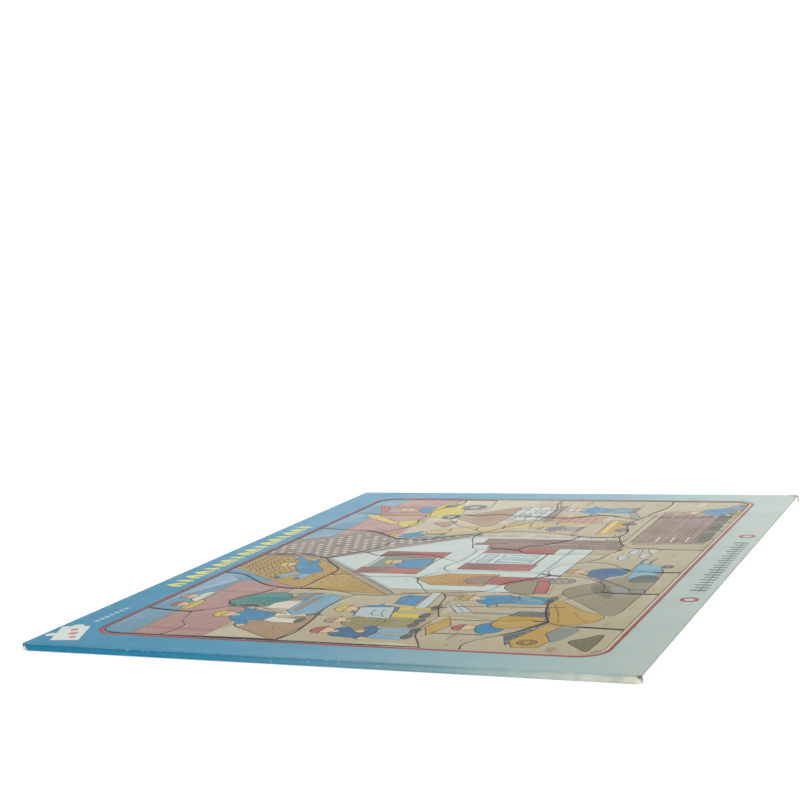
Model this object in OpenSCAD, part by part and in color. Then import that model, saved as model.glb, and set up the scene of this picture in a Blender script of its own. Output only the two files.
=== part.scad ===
// Frame-tray jigsaw puzzle. A printed cover sheet is glued over a die-cut frame board,
// folded round the edges and under the base board, and closed by a backing sheet.
// Loose pieces with wavy cuts lie flush in the window.
// Origin: centre of the underside. X runs along the picture, Y up the picture, Z up.

/* [Tray] */
// Length of the tray, along the picture
tray_l = 320; // [300:1:360]
// Width of the tray
tray_w = 240; // [220:1:280]
// Length of the window that holds the pieces
window_l = 280; // [260:1:290]
// Width of the window
window_w = 200; // [190:1:210]
// Corner radius of the window
window_r = 9; // [4:0.5:12]
// Corner radius of the tray, where the cover sheet is folded round
tray_r = 1.5; // [1:0.1:3]

/* [Board and paper] */
// Thickness of the base board
base_t = 0.9; // [0.6:0.1:2]
// Thickness of the frame board
frame_t = 1.4; // [1:0.1:3]
// Thickness of the printed cover sheet
cover_t = 0.15; // [0.1:0.05:0.3]
// Thickness of the backing sheet
backing_t = 0.2; // [0.1:0.05:0.4]
// How far the cover sheet is folded in under the base board
turn_in = 15; // [8:1:20]
// How far the edge of the backing sheet lies inside the edge of the tray
backing_inset = 3; // [1:0.5:6]

/* [Pieces] */
// Gap between two neighbouring pieces
cut_gap = 0.3; // [0.1:0.05:0.6]
// Extra gap between the outer pieces and the frame
window_gap = 0.3; // [0.1:0.05:0.6]
// How far the pieces lie below the face of the frame
piece_drop = 0.05; // [0:0.05:0.4]
// Straight steps that make up each stretch of a wavy cut
cut_steps = 4; // [2:1:8]

/* [Hidden] */
$fn = 64;
eps = 0.01;
// Heights of the layers, from the underside up
turn_in_z = backing_t;
base_z = turn_in_z + cover_t;
floor_z = base_z + base_t;
frame_top = floor_z + frame_t;
tray_h = frame_top + cover_t;
// Boards lie inside the folded cover sheet
board_l = tray_l - 2 * cover_t;
board_w = tray_w - 2 * cover_t;
board_r = tray_r - cover_t;
piece_t = tray_h - piece_drop - floor_z;

// The cut lines are drawn on a picture of this size and scaled to fit the window
draw_l = 280;
draw_w = 200;
edge_x = draw_l / 2;
edge_y = draw_w / 2;
fit_x = (window_l - 2 * window_gap) / draw_l;
fit_y = (window_w - 2 * window_gap) / draw_w;
corner_r = window_r - window_gap;
corner_steps = 8;

// Corners of the picture
corner_1 = [-edge_x, edge_y];
corner_2 = [edge_x, edge_y];
corner_3 = [edge_x, -edge_y];
corner_4 = [-edge_x, -edge_y];

// Where the cuts meet the edges of the picture, clockwise from the left of the top edge
top_1 = [-102, edge_y];
top_2 = [-38, edge_y];
top_3 = [0, edge_y];
top_4 = [60, edge_y];
top_5 = [100, edge_y];
right_1 = [edge_x, 52];
right_2 = [edge_x, 34];
right_3 = [edge_x, -2];
right_4 = [edge_x, -61];
bottom_1 = [-106, -edge_y];
bottom_2 = [-53, -edge_y];
bottom_3 = [-16, -edge_y];
bottom_4 = [27, -edge_y];
bottom_5 = [101, -edge_y];
left_1 = [-edge_x, 72];
left_2 = [-edge_x, 23];
left_3 = [-edge_x, -35];
left_4 = [-edge_x, -50];

// Where the cuts meet each other, from the top row of pieces down
a_1 = [-105, 78];
a_2 = [-94, 64];
a_3 = [-61, 61];
a_4 = [-62, 52];
a_5 = [-36, 49];
a_6 = [-5, 66];
a_7 = [10, 55];
a_8 = [39, 50];
a_9 = [52, 64];
a_10 = [95, 55];
b_1 = [-102, 23];
b_2 = [-69, 22];
b_3 = [-37, 7];
b_4 = [-25, -2];
b_5 = [-7, 1];
b_6 = [19, 1];
b_7 = [56, 12];
b_8 = [68, 25];
b_9 = [86, 41];
b_10 = [100, 38];
c_1 = [-98, -26];
c_2 = [-62, -7];
c_3 = [-61, -13];
c_4 = [-57, -30];
c_5 = [-27, -48];
c_6 = [18, -19];
c_7 = [51, -38];
c_8 = [96, -7];
d_1 = [-100, -70];
d_2 = [-70, -61];
d_3 = [-53, -77];
d_4 = [-1, -56];
d_5 = [14, -61];
d_6 = [28, -67];
d_7 = [52, -56];
d_8 = [93, -55];
d_9 = [101, -57];

// Each cut runs from one meeting place to the next through the points between them
CUTS = [
    // Between the pieces of the top row
    [top_1, [-104, 90], [-105, 84], a_1],
    [top_2, [-40, 91], [-44, 85], [-49, 80], [-58, 69], a_3],
    [top_3, [1, 90], [2, 81], [0, 75], a_6],
    [top_4, [59, 92], [57, 80], [55, 70], a_9],
    [top_5, [100, 92], [98, 85], [96, 77], [96, 66], a_10],
    // Under the top row
    [left_1, [-131, 69], [-124, 70], [-119, 74], [-112, 76], a_1],
    [a_1, [-101, 72], [-98, 69], a_2],
    [a_2, [-91, 68], [-86, 71], [-79, 69], [-74, 65], [-69, 63], a_3],
    [a_3, [-62, 57], a_4],
    [a_4, [-56, 50], [-46, 50], a_5],
    [a_5, [-26, 50], [-19, 55], [-12, 61], a_6],
    [a_6, [2, 61], a_7],
    [a_7, [20, 50], [30, 49], a_8],
    [a_8, [45, 57], a_9],
    [a_9, [62, 57], [74, 54], [86, 57], a_10],
    [a_10, [106, 58], [118, 55], [130, 50], right_1],
    // Between the pieces of the second row
    [a_2, [-92, 58], [-95, 51], [-100, 43], [-102, 34], b_1],
    [a_4, [-62, 40], [-65, 30], b_2],
    [a_5, [-36, 36], [-38, 27], [-37, 20], [-36, 13], b_3],
    [a_7, [8, 51], [4, 46], [2, 41], [4, 35], [6, 28], [6, 22], [4, 16], [-1, 9], b_5],
    [a_8, [38, 43], [37, 38], [40, 32], [50, 20], b_7],
    [a_10, [91, 48], b_9],
    // Under the second row
    [left_2, [-134, 21], [-127, 20], [-115, 21], b_1],
    [b_1, [-92, 25], [-77, 24], b_2],
    [b_2, [-69, 12], [-67, 5], c_2],
    [c_2, [-57, -3], [-50, 1], [-44, 5], b_3],
    [b_3, [-32, 5], [-28, 2], b_4],
    [b_4, [-22, 1], [-18, 3], [-13, 3], b_5],
    [b_5, [0, 0], [9, 0], b_6],
    [b_6, [23, 5], [34, 9], [45, 13], b_7],
    [b_7, [62, 18], b_8],
    [b_8, [72, 31], [79, 36], b_9],
    [b_9, [93, 40], b_10],
    [b_10, [111, 32], [123, 31], [133, 33], right_2],
    // Between the pieces of the third row
    [b_1, [-104, 12], [-99, 2], [-103, -11], c_1],
    [c_2, c_3],
    [b_4, [-23, -12], [-22, -25], [-23, -38], c_5],
    [b_6, [21, -5], [21, -12], c_6],
    [b_7, [59, 2], [60, -7], [58, -20], [55, -30], c_7],
    [b_10, [97, 30], [101, 19], [98, 7], c_8],
    // Under the third row
    [left_3, [-132, -31], [-124, -27], [-112, -25], c_1],
    [c_1, [-86, -21], [-78, -19], [-68, -17], c_3],
    [c_3, [-60, -22], c_4],
    [c_4, [-52, -32], [-44, -33], [-38, -38], [-32, -44], c_5],
    [c_6, [22, -18], [27, -20], [32, -26], [38, -33], [45, -36], c_7],
    [b_7, [71, 4], [81, -3], [88, -6], c_8],
    [c_8, [103, -7], [118, -6], [128, -3], right_3],
    // Between the pieces of the fourth row
    [c_1, [-97, -38], [-102, -52], [-99, -61], d_1],
    [c_4, [-58, -40], [-63, -50], d_2],
    [c_6, [13, -25], [13, -34], [14, -48], d_5],
    [c_7, [50, -47], d_7],
    [c_8, [94, -14], [95, -21], [101, -30], [101, -39], [96, -48], d_8],
    // Under the fourth row
    [left_4, [-133, -49], [-126, -53], [-118, -60], [-109, -66], d_1],
    [d_1, [-90, -66], [-80, -63], d_2],
    [d_2, [-67, -66], [-60, -70], d_3],
    [c_5, [-28, -58], [-31, -66], [-38, -73], [-45, -76], d_3],
    [c_5, [-21, -45], [-14, -45], [-9, -47], [-5, -52], d_4],
    [d_4, [6, -60], d_5],
    [d_5, [21, -63], d_6],
    [d_6, [34, -62], [42, -59], d_7],
    [d_7, [63, -57], [74, -54], [85, -53], d_8],
    [d_8, d_9],
    [d_9, [109, -58], [120, -61], [129, -62], right_4],
    // Between the pieces of the bottom row
    [d_1, [-104, -76], [-105, -88], bottom_1],
    [d_3, [-54, -88], bottom_2],
    [d_4, [-2, -63], [-5, -69], [-13, -75], [-16, -82], [-17, -91], bottom_3],
    [d_6, [28, -76], [27, -84], bottom_4],
    [d_9, [98, -67], [98, -78], [101, -88], bottom_5],
];

// Name, colour and outline of each piece: the meeting places round it, clockwise
PIECES = [
    ["piece_a1", "lightsteelblue", [corner_1, top_1, a_1, left_1]],
    ["piece_a2", "rosybrown", [top_1, top_2, a_3, a_2, a_1]],
    ["piece_a3", "orange", [top_2, top_3, a_6, a_5, a_4, a_3]],
    ["piece_a4", "gray", [top_3, top_4, a_9, a_8, a_7, a_6]],
    ["piece_a5", "lightblue", [top_4, top_5, a_10, a_9]],
    ["piece_a6", "powderblue", [top_5, corner_2, right_1, a_10]],
    ["piece_b1", "rosybrown", [left_1, a_1, a_2, b_1, left_2]],
    ["piece_b2", "tan", [a_2, a_3, a_4, b_2, b_1]],
    ["piece_b3", "darkorange", [a_4, a_5, b_3, c_2, b_2]],
    ["piece_b4", "honeydew", [a_5, a_6, a_7, b_5, b_4, b_3]],
    ["piece_b5", "gainsboro", [a_7, a_8, b_7, b_6, b_5]],
    ["piece_b6", "khaki", [a_9, a_10, b_9, b_8, b_7, a_8]],
    ["piece_b7", "gold", [a_10, right_1, right_2, b_10, b_9]],
    ["piece_c1", "steelblue", [left_2, b_1, c_1, left_3]],
    ["piece_c2", "wheat", [b_1, b_2, c_2, c_3, c_1]],
    ["piece_c3", "whitesmoke", [c_2, b_3, b_4, c_5, c_4, c_3]],
    ["piece_c4", "peru", [b_4, b_5, b_6, c_6, d_5, d_4, c_5]],
    ["piece_c5", "firebrick", [b_6, b_7, c_7, c_6]],
    ["piece_c6", "burlywood", [b_7, b_8, b_9, b_10, c_8]],
    ["piece_c7", "tan", [b_10, right_2, right_3, c_8]],
    ["piece_d1", "goldenrod", [left_3, c_1, d_1, left_4]],
    ["piece_d2", "wheat", [c_1, c_3, c_4, d_2, d_1]],
    ["piece_d3", "darkkhaki", [c_4, c_5, d_3, d_2]],
    ["piece_d4", "sienna", [c_6, c_7, d_7, d_6, d_5]],
    ["piece_d5", "khaki", [b_7, c_8, d_8, d_7, c_7]],
    ["piece_d6", "cornflowerblue", [c_8, right_3, right_4, d_9, d_8]],
    ["piece_e1", "tan", [left_4, d_1, bottom_1, corner_4]],
    ["piece_e2", "orange", [d_1, d_2, d_3, bottom_2, bottom_1]],
    ["piece_e3", "olive", [d_3, c_5, d_4, bottom_3, bottom_2]],
    ["piece_e4", "lightblue", [d_4, d_5, d_6, bottom_4, bottom_3]],
    ["piece_e5", "rosybrown", [d_6, d_7, d_8, d_9, bottom_5, bottom_4]],
    ["piece_e6", "steelblue", [d_9, right_4, corner_3, bottom_5]],
];

function last(list) = list[len(list) - 1];
function reversed(list) = [for (i = [len(list) - 1 : -1 : 0]) list[i]];

// A point on the smooth curve that passes through b and c, at t from 0 to 1
function curve_point(a, b, c, d, t) =
    b + t * ((c - a) + t * ((2 * a - 5 * b + 4 * c - d) + t * (3 * b - a - 3 * c + d))) / 2;

// The curve through all the points of one cut
function smooth(cut) =
    [for (i = [0 : len(cut) - 2], s = [0 : cut_steps - 1])
        curve_point(cut[max(i - 1, 0)], cut[i], cut[i + 1], cut[min(i + 2, len(cut) - 1)],
                    s / cut_steps), last(cut)];

// The cut from a to b in that direction, or the straight edge of the picture
function side(a, b) =
    let (found = [
        for (cut = CUTS) if (cut[0] == a && last(cut) == b) cut,
        for (cut = CUTS) if (cut[0] == b && last(cut) == a) reversed(cut)])
    len(found) == 0 ? [a, b] : len(found[0]) == 2 ? found[0] : smooth(found[0]);

function is_corner(p) = abs(p.x) == edge_x && abs(p.y) == edge_y;
function fitted(p) = [p.x * fit_x, p.y * fit_y];

// Quarter circle that rounds off a corner of the picture, going clockwise
function corner_arc(p) =
    let (centre = fitted(p) - corner_r * [sign(p.x), sign(p.y)],
         start = p.x < 0 ? (p.y > 0 ? 180 : 270) : (p.y > 0 ? 90 : 0))
    [for (i = [0 : corner_steps]) centre + corner_r * [cos(start - 90 * i / corner_steps),
                                                       sin(start - 90 * i / corner_steps)]];

// All the points round a piece, each side without its last point
function outline(ends) =
    [for (i = [0 : len(ends) - 1])
        let (a = ends[i], b = ends[(i + 1) % len(ends)], points = side(a, b))
        each is_corner(a) ? corner_arc(a) : [for (j = [0 : len(points) - 2]) fitted(points[j])]];

// A clockwise outline moved inwards by d, each point along the line that halves its corner
function inset(points, d) =
    let (n = len(points))
    [for (i = [0 : n - 1])
        let (before = unit(points[i] - points[(i + n - 1) % n]),
             after = unit(points[(i + 1) % n] - points[i]),
             half = right_of(unit(before + after)))
        points[i] + half * d / (half * right_of(before))];
function unit(v) = v / norm(v);
function right_of(v) = [v.y, -v.x];

// Flat rectangle with round corners, centred
module round_plate(l, w, r) {
    square([l - 2 * r, w], center = true);
    square([l, w - 2 * r], center = true);
    for (x = [-1, 1], y = [-1, 1])
        translate([x * (l / 2 - r), y * (w / 2 - r)]) circle(r);
}

module window() {
    round_plate(window_l, window_w, window_r);
}

// Closes the underside, and fills the space inside the folded edge of the cover sheet
module backing_sheet() color("white") {
    linear_extrude(backing_t)
        square([tray_l - 2 * backing_inset, tray_w - 2 * backing_inset], center = true);
    translate([0, 0, backing_t - eps]) linear_extrude(cover_t + eps)
        square([tray_l - 2 * turn_in, tray_w - 2 * turn_in], center = true);
}

module base_board() color("darkgray")
    translate([0, 0, base_z]) linear_extrude(base_t) round_plate(board_l, board_w, board_r);

module frame_board() color("darkgray")
    translate([0, 0, floor_z]) linear_extrude(frame_t) difference() {
        round_plate(board_l, board_w, board_r);
        window();
    }

// Face of the frame, the fold round the edges and the turn-in underneath
module cover_sheet() color("cadetblue") {
    translate([0, 0, frame_top]) linear_extrude(cover_t) difference() {
        round_plate(tray_l, tray_w, tray_r);
        window();
    }
    translate([0, 0, base_z - eps]) linear_extrude(frame_top - base_z + 2 * eps) difference() {
        round_plate(tray_l, tray_w, tray_r);
        round_plate(board_l, board_w, board_r);
    }
    translate([0, 0, turn_in_z]) linear_extrude(cover_t) difference() {
        round_plate(tray_l, tray_w, tray_r);
        square([tray_l - 2 * turn_in, tray_w - 2 * turn_in], center = true);
    }
}

module piece(p) color(p[1])
    translate([0, 0, floor_z]) linear_extrude(piece_t)
        polygon(inset(outline(p[2]), cut_gap / 2));

backing_sheet();
base_board();
frame_board();
cover_sheet();
for (p = PIECES) piece(p);
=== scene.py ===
import math
import random

import bmesh
import bpy
import numpy as np
from mathutils import Matrix, Vector
from mathutils.geometry import delaunay_2d_cdt


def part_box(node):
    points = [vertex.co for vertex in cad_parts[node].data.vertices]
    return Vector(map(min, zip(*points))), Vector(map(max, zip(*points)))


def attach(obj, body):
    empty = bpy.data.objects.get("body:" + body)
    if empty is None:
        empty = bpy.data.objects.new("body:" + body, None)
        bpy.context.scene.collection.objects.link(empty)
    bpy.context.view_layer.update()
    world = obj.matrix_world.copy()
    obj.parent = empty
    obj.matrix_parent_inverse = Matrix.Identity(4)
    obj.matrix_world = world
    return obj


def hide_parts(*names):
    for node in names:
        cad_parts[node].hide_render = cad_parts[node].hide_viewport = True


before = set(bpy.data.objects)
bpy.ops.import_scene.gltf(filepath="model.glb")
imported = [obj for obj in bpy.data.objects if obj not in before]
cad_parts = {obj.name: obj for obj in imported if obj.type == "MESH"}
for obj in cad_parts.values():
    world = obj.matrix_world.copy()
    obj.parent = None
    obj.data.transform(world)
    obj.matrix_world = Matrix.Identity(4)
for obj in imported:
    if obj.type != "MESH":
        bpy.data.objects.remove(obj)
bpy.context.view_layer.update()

MM = 0.001

# ---- places, from the frame

PIECES = sorted(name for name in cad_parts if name.startswith("piece_"))
tray_low, tray_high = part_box("cover_sheet")
board_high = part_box("frame_board")[1]
TRAY_L = (tray_high.x - tray_low.x) / MM
TRAY_W = (tray_high.y - tray_low.y) / MM
TRAY_TOP = tray_high.z / MM
SHEET_T = TRAY_TOP - board_high.z / MM
TURN_IN_Z = tray_low.z / MM
PIECE_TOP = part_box(PIECES[0])[1].z / MM


def face_loops(node, z):
    """The closed outlines, in mm, of the flat face of a CAD node that lies at height z (mm)."""
    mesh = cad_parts[node].data
    mesh.calc_loop_triangles()
    key = [(round(v.co.x / MM, 3), round(v.co.y / MM, 3)) for v in mesh.vertices]
    level = [abs(v.co.z / MM - z) < 1e-3 for v in mesh.vertices]
    follow = {}
    for tri in mesh.loop_triangles:
        a, b, c = tri.vertices
        if level[a] and level[b] and level[c]:
            for p, q in ((a, b), (b, c), (c, a)):
                follow[(key[p], key[q])] = True
    edges = {p: q for p, q in follow if (q, p) not in follow}
    loops = []
    while edges:
        start = min(edges)
        loop = [start]
        while True:
            point = edges.pop(loop[-1])
            if point == start:
                break
            loop.append(point)
        loops.append(loop)
    return loops


def piece_outline(node):
    return max(face_loops(node, PIECE_TOP), key=lambda loop: abs(area(loop)))


# ---- flat geometry, in mm


def area(points):
    p = np.array(points)
    q = np.roll(p, -1, 0)
    return 0.5 * float(np.sum(p[:, 0] * q[:, 1] - q[:, 0] * p[:, 1]))


def grown(points, d):
    """The outline, anticlockwise, with every side moved outwards by d (inwards if d is negative)."""
    p = np.array(points, float)
    if area(p) < 0:
        p = p[::-1]
    before = p - np.roll(p, 1, 0)
    after = np.roll(p, -1, 0) - p
    before /= np.linalg.norm(before, axis=1)[:, None]
    after /= np.linalg.norm(after, axis=1)[:, None]
    half = before + after
    half /= np.maximum(np.linalg.norm(half, axis=1), 1e-6)[:, None]
    out = np.stack([half[:, 1], -half[:, 0]], 1)
    square_on = np.stack([before[:, 1], -before[:, 0]], 1)
    share = np.maximum((out * square_on).sum(1), 0.45)
    return [tuple(v) for v in p + out * (d / share)[:, None]]


def curved(points, steps=4):
    """A smooth closed curve through the points."""
    p = np.array(points, float)
    a, b, c, d = np.roll(p, 1, 0), p, np.roll(p, -1, 0), np.roll(p, -2, 0)
    out = []
    for i in range(len(p)):
        for s in range(steps):
            t = s / steps
            bend = 2 * a[i] - 5 * b[i] + 4 * c[i] - d[i] + t * (3 * b[i] - a[i] - 3 * c[i] + d[i])
            out.append(tuple(b[i] + t * (c[i] - a[i] + t * bend) / 2))
    return out


def box(x0, y0, x1, y1):
    return [(x0, y0), (x1, y0), (x1, y1), (x0, y1)]


def oval(x, y, rx, ry=None, turn=0.0, steps=14, start=0.0, end=360.0):
    """An ellipse, or the part of it from start to end degrees."""
    ry = ry or rx
    whole = end - start >= 360
    count = steps if whole else steps + 1
    out = []
    for i in range(count):
        a = math.radians(start + (end - start) * i / steps)
        px, py = rx * math.cos(a), ry * math.sin(a)
        c, s = math.cos(math.radians(turn)), math.sin(math.radians(turn))
        out.append((x + px * c - py * s, y + px * s + py * c))
    return out


def round_box(length, width, r, steps=8, x=0.0, y=0.0):
    out = []
    for k, (sx, sy) in enumerate(((1, 1), (-1, 1), (-1, -1), (1, -1))):
        cx, cy = x + sx * (length / 2 - r), y + sy * (width / 2 - r)
        for i in range(steps + 1):
            a = math.radians(90 * (k + i / steps))
            out.append((cx + r * math.cos(a), cy + r * math.sin(a)))
    return out


def ribbon(points, width):
    """A line of that width through the points, as an outline."""
    p = np.array(points, float)
    step = np.gradient(p, axis=0)
    step /= np.linalg.norm(step, axis=1)[:, None]
    side = np.stack([-step[:, 1], step[:, 0]], 1) * width / 2
    return [tuple(v) for v in p + side] + [tuple(v) for v in (p - side)[::-1]]


def between(quad, u, v):
    """The point at shares u along and v up a four-cornered field."""
    a, b, c, d = (np.array(q, float) for q in quad)
    return tuple((1 - u) * (1 - v) * a + u * (1 - v) * b + u * v * c + (1 - u) * v * d)


def inside(point, points):
    x, y = point
    hit = False
    for i in range(len(points)):
        x0, y0 = points[i - 1]
        x1, y1 = points[i]
        if (y0 > y) != (y1 > y) and x < x0 + (y - y0) * (x1 - x0) / (y1 - y0):
            hit = not hit
    return hit


def distance_to(loops, points):
    """Distance of each point from the nearest side of the outlines, and the direction away from it."""
    p = np.array(points, float)[:, None, :]
    a = np.concatenate([np.array(loop, float) for loop in loops])
    b = np.concatenate([np.roll(np.array(loop, float), -1, 0) for loop in loops])
    ab = b - a
    t = ((p - a) * ab).sum(2) / (ab * ab).sum(1)
    near = a + np.clip(t, 0, 1)[..., None] * ab
    gap = np.linalg.norm(p - near, axis=2)
    best = gap.argmin(1)
    rows = np.arange(len(points))
    side = np.stack([ab[best, 1], -ab[best, 0]], 1)
    side /= np.linalg.norm(side, axis=1)[:, None]
    return gap[rows, best], side


# ---- inks

# The sheen of the varnish lies over the print at a flat angle. The inks are named as they are seen
# through it, and this share of white is taken out again, because the render adds its own sheen.
VEIL = 0.085
LIGHT = 1.13  # how strongly the studio lights a flat sheet
DARKEST = 0.004  # no ink is blacker than this


def linear(c):
    c /= 255
    return c / 12.92 if c <= 0.04045 else ((c + 0.055) / 1.055) ** 2.4


def ink(r, g, b):
    return tuple(max(DARKEST, (linear(c) - VEIL) / (1 - VEIL) / LIGHT) for c in (r, g, b)) + (1.0,)


PAPER = (0.66, 0.67, 0.63, 1.0)
CREAM_PAPER = (0.56, 0.55, 0.46, 1.0)
NO_INK = (0.0, 0.0, 0.0, 0.0)  # the ground tint of the cover shows here
LINE = ink(98, 92, 86)
SOFT_LINE = ink(140, 130, 118)
SKY = ink(117, 154, 174)
WALL = ink(178, 146, 138)
WALL_DARK = ink(160, 132, 124)
GROUND = ink(183, 174, 147)
GROUND_DARK = ink(164, 153, 128)
GROUND_LIGHT = ink(194, 187, 164)
ROOF = ink(178, 152, 96)
ROOF_DARK = ink(146, 122, 80)
LATTICE = ink(142, 134, 124)
CREAM = ink(212, 208, 190)
PLASTER = ink(198, 209, 203)
SHEET = ink(184, 197, 194)
SHADE = ink(164, 178, 174)
RED = ink(174, 112, 106)
RED_DARK = ink(146, 114, 110)
TIMBER = ink(148, 126, 113)
TIMBER_DARK = ink(112, 94, 85)
BLUE = ink(84, 141, 174)
BLUE_DARK = ink(84, 117, 150)
BLUE_LIGHT = ink(134, 172, 188)
TEAL = ink(88, 142, 136)
YELLOW = ink(206, 188, 96)
ORANGE = ink(186, 156, 92)
ORANGE_DARK = ink(156, 126, 76)
GREY = ink(140, 146, 142)
GREY_DARK = ink(106, 112, 112)
OLIVE = ink(149, 145, 120)
OLIVE_DARK = ink(128, 124, 104)
EARTH = ink(170, 147, 119)
KHAKI = ink(152, 146, 108)
SKIN = ink(214, 184, 152)

# ---- the picture, in mm from its centre

art = []  # (outline, ink), from the back to the front


def fill(colour, points):
    art.append((points, colour))


def drawn(colour, points, line=0.45, line_ink=None):
    """A filled shape with a printed line round it."""
    fill(line_ink or LINE, grown(points, line / 2))
    fill(colour, grown(points, -line / 2))


def blob(colour, points, steps=4, line=0.45):
    """A drawn shape with its corners rounded."""
    drawn(colour, curved(points, steps), line)


def patch(colour, points, steps=4):
    """A shape with its corners rounded and no line."""
    fill(colour, curved(points, steps))


def stroke(colour, points, width=0.45):
    fill(colour, ribbon(points, width))


def rule(colour, x0, y0, x1, y1, width):
    """A straight stroke."""
    stroke(colour, [(x0, y0), (x1, y1)], width)


def bar(colour, points, width):
    drawn(colour, ribbon(points, width))


def limb(colour, points, width, line=0.6):
    """A thick stroke with a darker one under it."""
    stroke(LINE, points, width + line)
    stroke(colour, points, width)


def dot(colour, x, y, rx, ry=None):
    drawn(colour, oval(x, y, rx, ry, steps=8), 0.3)


def arm(colour, points, width=3.0, hand=1.5, line=0.6):
    """An arm with a hand at its end."""
    limb(colour, points, width, line)
    dot(SKIN, *points[-1], hand)


def head(hat, face, crown):
    """A faceless head and a round hat, each given as an oval."""
    drawn(SKIN, oval(*face))
    drawn(hat, oval(*crown, steps=8, end=180))


def wheel(x, y, tyre, hub):
    drawn(GREY_DARK, oval(x, y, *tyre))
    dot(GREY, x, y, *hub)


def ground_marks(places, length=7):
    for x, y in places:
        stroke(GROUND_DARK, [(x, y), (x + 4, y + 0.6), (x + length, y)], 0.5)


def hatch(colour, quad, rows, columns, length=0.6, width=0.4, rise=0.0):
    """Rows of short strokes across a four-cornered field, like courses of bricks or tiles."""
    for r in range(rows):
        for c in range(columns):
            u = (c + (0.1 if r % 2 else 0.9) * (1 - length)) / columns
            v = (r + 0.5 - rise / 2) / rows
            stroke(colour, [between(quad, u, v), between(quad, u + length / columns, v + rise / rows)], width)


def joints(colour, quad, rows, columns, width=0.4):
    """The upright joints between the courses of a brick or tile field."""
    for r in range(rows):
        for c in range(1, columns + 1):
            u = (c - (0.5 if r % 2 else 0.0)) / columns
            if 0 < u < 1:
                stroke(colour, [between(quad, u, r / rows), between(quad, u, (r + 1) / rows)], width)


def figure(x, y, h, coat, legs, hat, hand=(0.32, 0.45), other=(-0.3, 0.4), stride=0.12):
    """A plain faceless worker of height h, standing at x, y. The hands are given in heights."""
    cuff = tuple(0.72 * c for c in coat[:3]) + (1.0,)

    def at(px, py):
        return (x + px * h, y + py * h)

    fill(GROUND_DARK, oval(x + 0.12 * h, y, 0.3 * h, 0.035 * h, steps=10))
    for side in (-1, 1):
        foot = at(side * stride, 0.05)
        knee = at(side * (stride * 0.6 + 0.04), 0.24)
        limb(legs, [at(side * 0.05, 0.42), knee, foot], 0.13 * h, 0.5)
        drawn(GREY_DARK, oval(foot[0] + 0.03 * h, foot[1] - 0.02 * h, 0.085 * h, 0.04 * h, steps=10))
    body = [at(-0.13, 0.36), at(0.13, 0.36), at(0.15, 0.6), at(0.09, 0.72), at(-0.09, 0.72), at(-0.15, 0.6)]
    for reach in (other, hand):
        shoulder = at(math.copysign(0.1, reach[0]), 0.66)
        elbow = at(reach[0] * 0.6, (0.66 + reach[1]) / 2 - 0.03)
        arm(coat, [shoulder, elbow, at(*reach)], 0.1 * h, 0.045 * h, 0.5)
        if reach is other:
            blob(coat, body, 2)
            stroke(cuff, [at(-0.13, 0.42), at(0.0, 0.405), at(0.13, 0.42)], 0.025 * h)
            stroke(cuff, [at(0.0, 0.42), at(0.005, 0.68)], 0.3)
            stroke(cuff, [at(-0.09, 0.52), at(-0.05, 0.47)], 0.3)
            drawn(PLASTER, [at(-0.05, 0.72), at(0.06, 0.72), at(0.01, 0.65)], 0.3)
    head(hat, (*at(0.02, 0.8), 0.085 * h, 0.095 * h), (*at(0.02, 0.82), 0.11 * h, 0.1 * h))
    stroke(LINE, [at(-0.09, 0.82), at(0.17, 0.82)], 0.5)
    stroke(cuff, [at(0.02, 0.84), at(0.03, 0.91)], 0.3)


def bust(x, y, r, coat, hat):
    """A plain faceless child looking over the wall."""
    low = y - 2.4 * r
    blob(coat, [(x - 2 * r, low), (x + 2 * r, low), (x + 1.7 * r, y - r), (x - 1.7 * r, y - r)])
    head(hat, (x, y, r, r * 1.1), (x, y + 0.3 * r, r * 1.15, r))


def heap(colour, dark, x0, x1, y, h, lean=0.5, seed=1):
    """A heap of loose material from x0 to x1 on the ground at y."""
    pick = random.Random(seed)
    length = x1 - x0
    top = x0 + lean * length
    blob(colour, [(x0, y), (x0 + 0.5 * (top - x0), y + 0.6 * h), (top - 0.07 * length, y + 0.97 * h),
                          (top + 0.07 * length, y + h), (x1 - 0.5 * (x1 - top), y + 0.55 * h), (x1, y),
                          (x0 + 0.7 * length, y - 0.12 * h), (x0 + 0.3 * length, y - 0.1 * h)])
    for _ in range(int(length / 4)):
        u = pick.uniform(0.2, 0.8)
        v = pick.uniform(0.1, 0.45) * h * (1 - abs(u - lean))
        px, py = x0 + u * length, y + v
        stroke(dark, [(px, py), (px + 1.5, py + 0.9), (px + 3, py + 1.2)], 0.4)


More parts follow.
